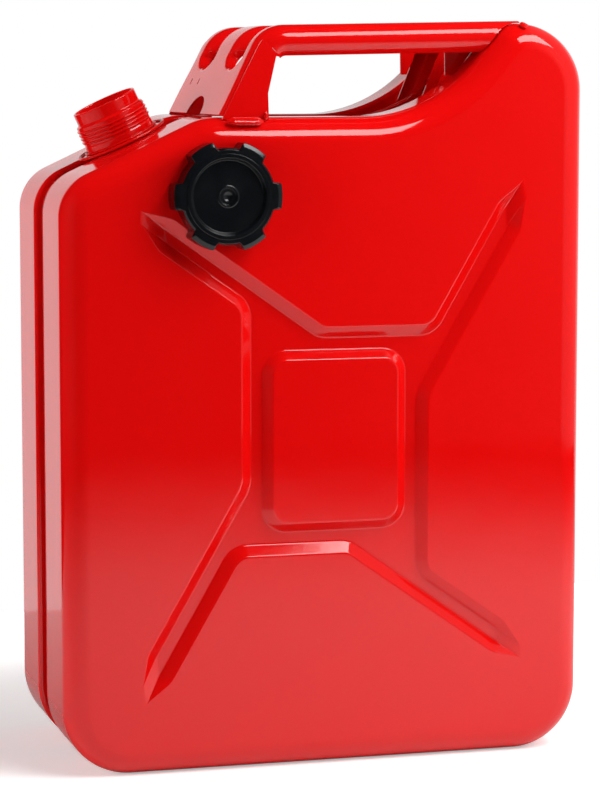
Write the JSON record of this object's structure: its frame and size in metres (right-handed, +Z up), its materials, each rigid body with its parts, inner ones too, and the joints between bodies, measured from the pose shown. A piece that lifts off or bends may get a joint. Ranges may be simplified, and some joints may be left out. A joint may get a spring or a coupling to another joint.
{
  "type": "metal fuel can",
  "caption": "Upright pressed-steel fuel can with a crossed pressing in each wide face, triple-bar handle, threaded filler neck and a screw cap stowed on its front by a magnet.",
  "frame": {"origin": "centre of the object's box at its base, on the ground under the can", "axes": "+Z up, -Y the front face that the cap is stowed on, -X the side of the filler neck, +X the side of the hump"},
  "size_m": [0.345, 0.1834, 0.4782],
  "materials": {
    "enamel": "gloss powder-coat enamel on steel",
    "weld_enamel": "gloss powder-coat enamel over a weld run",
    "cap_plastic": "moulded black polypropylene, fine satin",
    "gasket_rubber": "matt nitrile rubber",
    "magnet": "nickel-plated magnet"
  },
  "bodies": {
    "can": {"front_shell": "enamel", "rear_shell": "enamel", "neck_saddle": "enamel", "filler_neck": "enamel", "handle_pressing": "enamel", "front_gusset": "enamel", "rear_gusset": "enamel", "seam_weld_bead": "weld_enamel", "neck_saddle_weld": "weld_enamel", "filler_neck_weld": "weld_enamel", "front_foot_weld": "weld_enamel", "rear_foot_weld": "weld_enamel", "front_edge_weld": "weld_enamel", "rear_edge_weld": "weld_enamel", "front_bar_end_weld": "weld_enamel", "rear_bar_end_weld": "weld_enamel", "front_leg_weld": "weld_enamel", "rear_leg_weld": "weld_enamel"},
    "cap_holder": {"cap_magnet": "magnet"},
    "cap": {"cap_body": "cap_plastic", "cap_gasket": "gasket_rubber"}
  },
  "joints": [
    {"name": "cap_pull_off", "type": "slide", "parent": "can", "child": "cap_holder", "axis": [0, -1, 0], "range_m": [0, 0.12]},
    {"name": "cap_turn", "type": "hinge", "parent": "cap_holder", "child": "cap", "pos_m": [-0.071, -0.07335, 0.3684], "axis": [0, -1, 0], "continuous": true}
  ]
}
